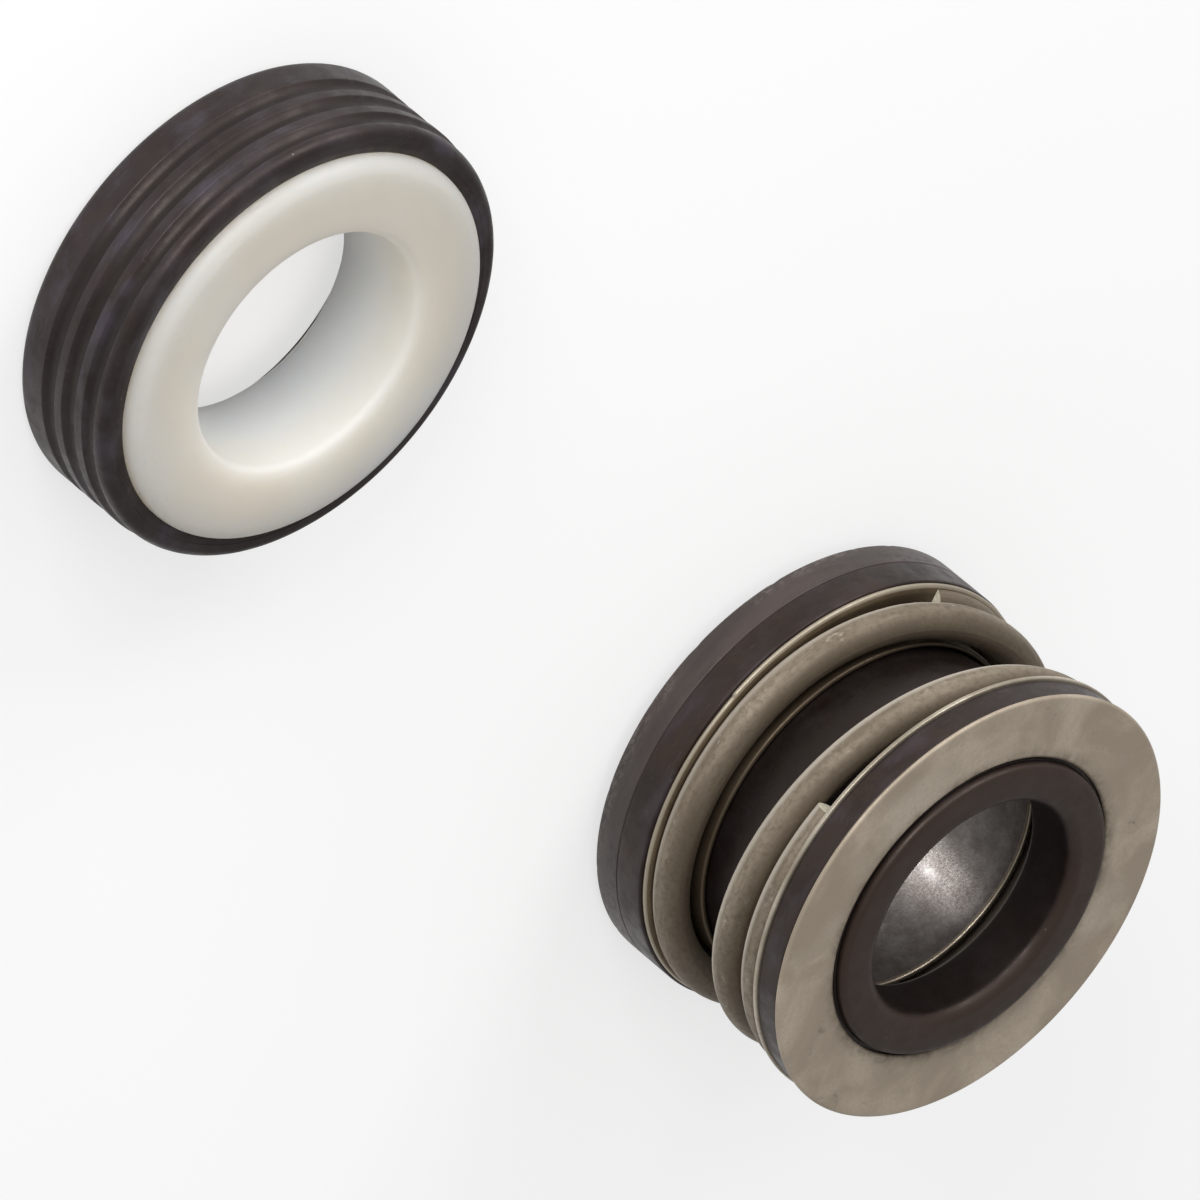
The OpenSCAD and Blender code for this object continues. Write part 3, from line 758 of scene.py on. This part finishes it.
cup_profile = (
    [(CUP_HOLE_R, 0.1), (CUP_HOLE_R + 0.1, 0.0)]
    + line((CUP_HOLE_R + 0.1, 0), (CUP_R - 0.8, 0), 5)
    + arc(CUP_R - 0.8, 0.8, 0.8, 270, 360, 12)
    + line((CUP_R, 0.8), (CUP_R, RIBS[2]), 6)
    + rib_points(2) + rib_points(1) + rib_points(0)
    + [(FLOOR_R, CUP_Z - 1.2), (SHOULDER_R - 0.04, CUP_Z - 1.04), (SHOULDER_R, CUP_Z - 0.95)]
    + line((SHOULDER_R, CUP_Z - 0.95), (SHOULDER_R, CUP_Z - 0.8), 2)
    + arc(SHOULDER_R - 0.8, CUP_Z - 0.8, 0.8, 0, 90, 12)
    + line((SHOULDER_R - 0.8, CUP_Z), (CUP_IN_R + 0.75, CUP_Z), 3)
    + [(CUP_IN_R + 0.75, CUP_Z), (CUP_IN_R + 0.7, CUP_Z - 0.05), (CUP_IN_R + 0.15, CUP_Z - 0.06),
       (CUP_IN_R, CUP_Z - 0.16), (CUP_IN_R, CUP_FLOOR), (CUP_HOLE_R + 0.1, CUP_FLOOR),
       (CUP_HOLE_R, CUP_FLOOR - 0.1)])


def cup_change(a, r, z):
    """The moulded ribs waver a little, and each in its own way."""
    if r > CUP_R - 0.7 and z > 1.5:
        near = sum(math.exp(-((z - c) / 1.0) ** 2) * ripple(a, 2.3 + i, (3, 5, 8, 13))
                   for i, c in enumerate(RIBS))
        z += 0.05 * near
        r += 0.02 * ripple(a, 4.4 + round(z), (4, 7, 11)) - 0.02
    return r, z


cup = revolve("seat_cup_moulding", cup_profile, SEAT_Y, 480, cup_change)
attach(dress(cup, "seat_cup", "cup_rubber", mat_cup), "halves")

# Floor, world and lamps


def floor_material():
    """White floor. The camera and glossy rays see it a little lifted; its shadow stays."""
    n = Nodes("floor_white")
    path = n.add("ShaderNodeLightPath")
    seen = n.math("MAXIMUM", path.outputs["Is Camera Ray"],
                  n.math("MAXIMUM", path.outputs["Is Glossy Ray"],
                         path.outputs["Is Transmission Ray"]))
    plain = n.add("ShaderNodeBsdfDiffuse", Color=(0.85, 0.85, 0.85, 1))
    dim = n.add("ShaderNodeBsdfDiffuse", Color=(0.45, 0.45, 0.45, 1))
    glow = n.add("ShaderNodeEmission", Color=(1, 1, 1, 1), Strength=0.62)
    lifted = n.add("ShaderNodeAddShader")
    n.put(lifted.inputs[0], dim.outputs[0])
    n.put(lifted.inputs[1], glow.outputs[0])
    both = n.add("ShaderNodeMixShader")
    n.put(both.inputs[0], seen)
    n.put(both.inputs[1], plain.outputs[0])
    n.put(both.inputs[2], lifted.outputs[0])
    out = n.add("ShaderNodeOutputMaterial")
    n.put(out.inputs[0], both.outputs[0])
    return n.material


bpy.ops.mesh.primitive_plane_add(size=12, location=(0, 0, -0.00005))
floor = bpy.context.object
floor.name = "floor"
floor.data.materials.append(floor_material())

world = bpy.data.worlds.new("studio")
bpy.context.scene.world = world
world.use_nodes = True
tree = world.node_tree
tree.nodes.clear()
AMBIENT = 0.46
path = tree.nodes.new("ShaderNodeLightPath")
seen = tree.nodes.new("ShaderNodeMath")
seen.operation = "MAXIMUM"
tree.links.new(path.outputs["Is Camera Ray"], seen.inputs[0])
tree.links.new(path.outputs["Is Transmission Ray"], seen.inputs[1])
level = tree.nodes.new("ShaderNodeMapRange")
level.inputs["To Min"].default_value = AMBIENT
level.inputs["To Max"].default_value = 1.0
tree.links.new(seen.outputs[0], level.inputs["Value"])
sky = tree.nodes.new("ShaderNodeBackground")
sky.inputs["Color"].default_value = (1, 1, 1, 1)
tree.links.new(level.outputs[0], sky.inputs["Strength"])
world_out = tree.nodes.new("ShaderNodeOutputWorld")
tree.links.new(sky.outputs[0], world_out.inputs[0])


def lamp(name, place, aim, size, power):
    """A soft square lamp at place, in millimetres, turned towards aim."""
    data = bpy.data.lights.new(name, "AREA")
    data.shape = "SQUARE"
    data.size = size * MM
    data.energy = power
    obj = bpy.data.objects.new(name, data)
    bpy.context.scene.collection.objects.link(obj)
    obj.location = Vector(place) * MM
    obj.rotation_mode = "QUATERNION"
    obj.rotation_quaternion = (Vector(aim) - Vector(place)).to_track_quat("-Z", "Y")


lamp("key", (-540, -230, 190), (0, 0, 10), 320, 1.7)
lamp("front", (-110, -570, 180), (0, 0, 10), 300, 2.3)
# light that comes up through the head from its open foot
glow = bpy.data.lights.new("bore", "SPOT")
glow.energy, glow.shadow_soft_size = 0.0019, 0.3 * MM
glow.spot_size, glow.spot_blend = math.radians(34), 1.0
bore_lamp = bpy.data.objects.new("bore", glow)
bpy.context.scene.collection.objects.link(bore_lamp)
bore_lamp.location = (0, (HEAD_Y - 4.0) * MM, 0.5 * MM)
bore_lamp.rotation_mode = "QUATERNION"
bore_lamp.rotation_quaternion = Vector((0, 14.95, 9.9)).to_track_quat("-Z", "Y")

# Camera

FOCAL_PX, FRAME_PX, SENSOR = 16000, 1200, 36.0
PITCH, CAM_Z, CAM_Y, CAM_X = 0.6149, 687.32, -958.10, 0.19
# The photograph shows the objects' up direction along (0.766, 0.643), x right and y down
UP_X, UP_Y = 0.7660, 0.6428

camera_data = bpy.data.cameras.new("camera")
camera_data.sensor_width = SENSOR
camera_data.lens = FOCAL_PX / FRAME_PX * SENSOR
camera_data.clip_start, camera_data.clip_end = 0.05, 30
camera = bpy.data.objects.new("camera", camera_data)
bpy.context.scene.collection.objects.link(camera)
right = Vector((1, 0, 0))
up = Vector((0, math.sin(PITCH), math.cos(PITCH)))
axis_x = -UP_Y * right + UP_X * up
axis_y = -UP_X * right - UP_Y * up
turn = Matrix((axis_x, axis_y, axis_x.cross(axis_y))).transposed()
camera.matrix_world = Matrix.Translation(Vector((CAM_X, CAM_Y, CAM_Z)) * MM) @ turn.to_4x4()
bpy.context.scene.camera = camera

bpy.context.scene.view_settings.view_transform = "Standard"
